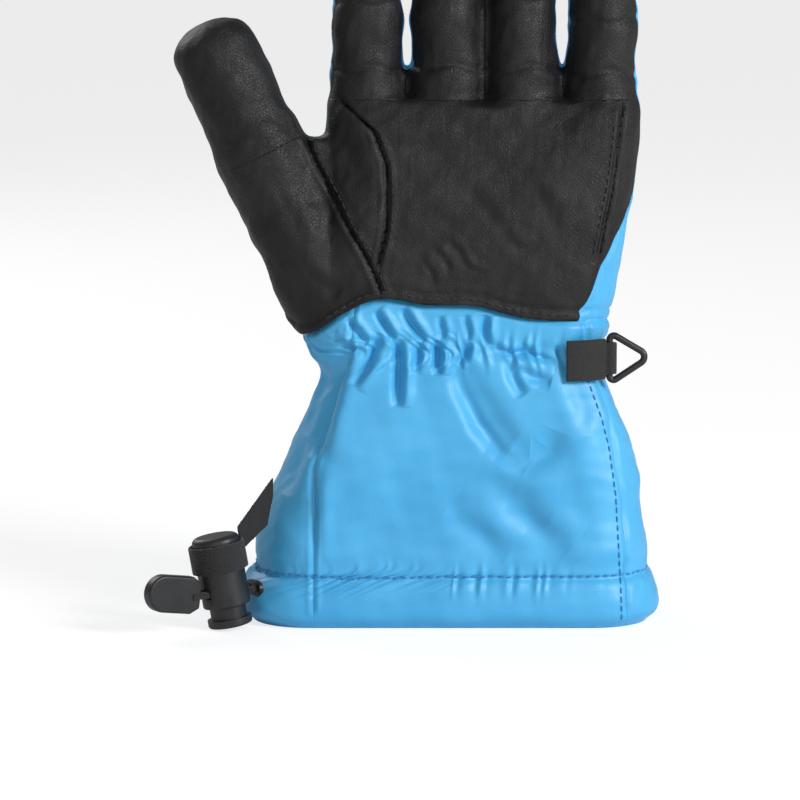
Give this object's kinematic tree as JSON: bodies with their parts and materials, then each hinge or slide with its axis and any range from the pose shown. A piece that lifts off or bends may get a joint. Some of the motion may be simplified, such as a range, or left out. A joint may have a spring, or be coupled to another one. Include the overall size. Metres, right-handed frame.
{
  "type": "cryogenic glove",
  "caption": "Insulated left glove with a leather palm, woven gauntlet, gathered wrist, hem drawcord with a sprung cord lock, and a hanging ring.",
  "frame": {"origin": "middle of the gauntlet hem's lower edge, on the surface the glove stands on", "axes": "+Z from the hem to the fingertips, palm faces -Y, thumb points to -X"},
  "size_m": [0.203, 0.0858, 0.304],
  "materials": {
    "black_leather": "matt grained leather",
    "blue_nylon": "satin woven nylon",
    "hem_binding": "turned-up woven nylon",
    "membrane": "thin waterproof film",
    "insulation": "quilted wadding",
    "fleece_lining": "brushed fleece",
    "elastic": "woven elastic",
    "drawcord": "braided cord",
    "black_webbing": "woven webbing",
    "moulded_plastic": "satin moulded plastic",
    "spring_steel": "drawn wire",
    "eyelet_metal": "black lacquer"
  },
  "bodies": {
    "glove": {"cord_eyelet": "eyelet_metal", "cord_lock_body": "moulded_plastic", "gauntlet_back_insulation": "insulation", "gauntlet_back_panel": "blue_nylon", "gauntlet_front_insulation": "insulation", "gauntlet_front_panel": "blue_nylon", "gauntlet_lining": "fleece_lining", "hand_back_insulation": "insulation", "hand_back_shell": "blue_nylon", "hand_lining": "fleece_lining", "hand_membrane": "membrane", "hem_drawcord": "drawcord", "hem_facing": "hem_binding", "little_side_leather": "black_leather", "lock_strap": "black_webbing", "palm_insulation": "insulation", "palm_leather": "black_leather", "ring_tab": "black_webbing", "thumb_gusset": "black_leather", "thumb_root_back_leather": "black_leather", "thumb_root_leather": "black_leather", "wrist_elastic": "elastic"},
    "index_finger": {"index_finger_back_shell": "blue_nylon", "index_finger_insulation": "insulation", "index_finger_leather": "black_leather", "index_finger_lining": "fleece_lining", "index_finger_membrane": "membrane"},
    "middle_finger": {"middle_finger_back_shell": "blue_nylon", "middle_finger_insulation": "insulation", "middle_finger_leather": "black_leather", "middle_finger_lining": "fleece_lining", "middle_finger_membrane": "membrane"},
    "ring_finger": {"ring_finger_back_shell": "blue_nylon", "ring_finger_insulation": "insulation", "ring_finger_leather": "black_leather", "ring_finger_lining": "fleece_lining", "ring_finger_membrane": "membrane"},
    "little_finger": {"little_finger_back_shell": "blue_nylon", "little_finger_insulation": "insulation", "little_finger_leather": "black_leather", "little_finger_lining": "fleece_lining", "little_finger_membrane": "membrane"},
    "thumb": {"thumb_back_leather": "black_leather", "thumb_insulation": "insulation", "thumb_leather": "black_leather", "thumb_lining": "fleece_lining", "thumb_membrane": "membrane"},
    "plunger": {"cord_lock_plunger": "moulded_plastic", "cord_lock_spring": "spring_steel"},
    "pull": {"cord_tails": "drawcord", "pull_tab": "moulded_plastic"},
    "ring": {"triangle_ring": "moulded_plastic"}
  },
  "joints": [
    {"name": "index_flex", "type": "hinge", "parent": "glove", "child": "index_finger", "pos_m": [-0.0335, 0, 0.212], "axis": [1, 0, 0], "range_deg": [0, 45], "stiffness_Nm_per_rad": 0.12},
    {"name": "middle_flex", "type": "hinge", "parent": "glove", "child": "middle_finger", "pos_m": [-0.0025, 0, 0.212], "axis": [1, 0, 0], "range_deg": [0, 45], "stiffness_Nm_per_rad": 0.12},
    {"name": "ring_flex", "type": "hinge", "parent": "glove", "child": "ring_finger", "pos_m": [0.0285, 0, 0.212], "axis": [1, 0, 0], "range_deg": [0, 45], "stiffness_Nm_per_rad": 0.12},
    {"name": "little_flex", "type": "hinge", "parent": "glove", "child": "little_finger", "pos_m": [0.0595, 0, 0.212], "axis": [1, 0, 0], "range_deg": [0, 45], "stiffness_Nm_per_rad": 0.12},
    {"name": "thumb_flex", "type": "hinge", "parent": "glove", "child": "thumb", "pos_m": [-0.077, -0.004, 0.19], "axis": [0.9092, 0, 0.4163], "range_deg": [0, 45], "stiffness_Nm_per_rad": 0.12},
    {"name": "plunger_press", "type": "slide", "parent": "glove", "child": "plunger", "axis": [-0.1736, 0, 0.9848], "range_m": [0, 0.003], "stiffness_N_per_m": 600},
    {"name": "cord_pull", "type": "slide", "parent": "glove", "child": "pull", "axis": [-0.8192, -0.5736, 0], "range_m": [0, 0.012]},
    {"name": "ring_swing", "type": "hinge", "parent": "glove", "child": "ring", "pos_m": [0.0624, -0.0172, 0.1062], "axis": [0, 0, 1], "range_deg": [-70, 70]}
  ]
}
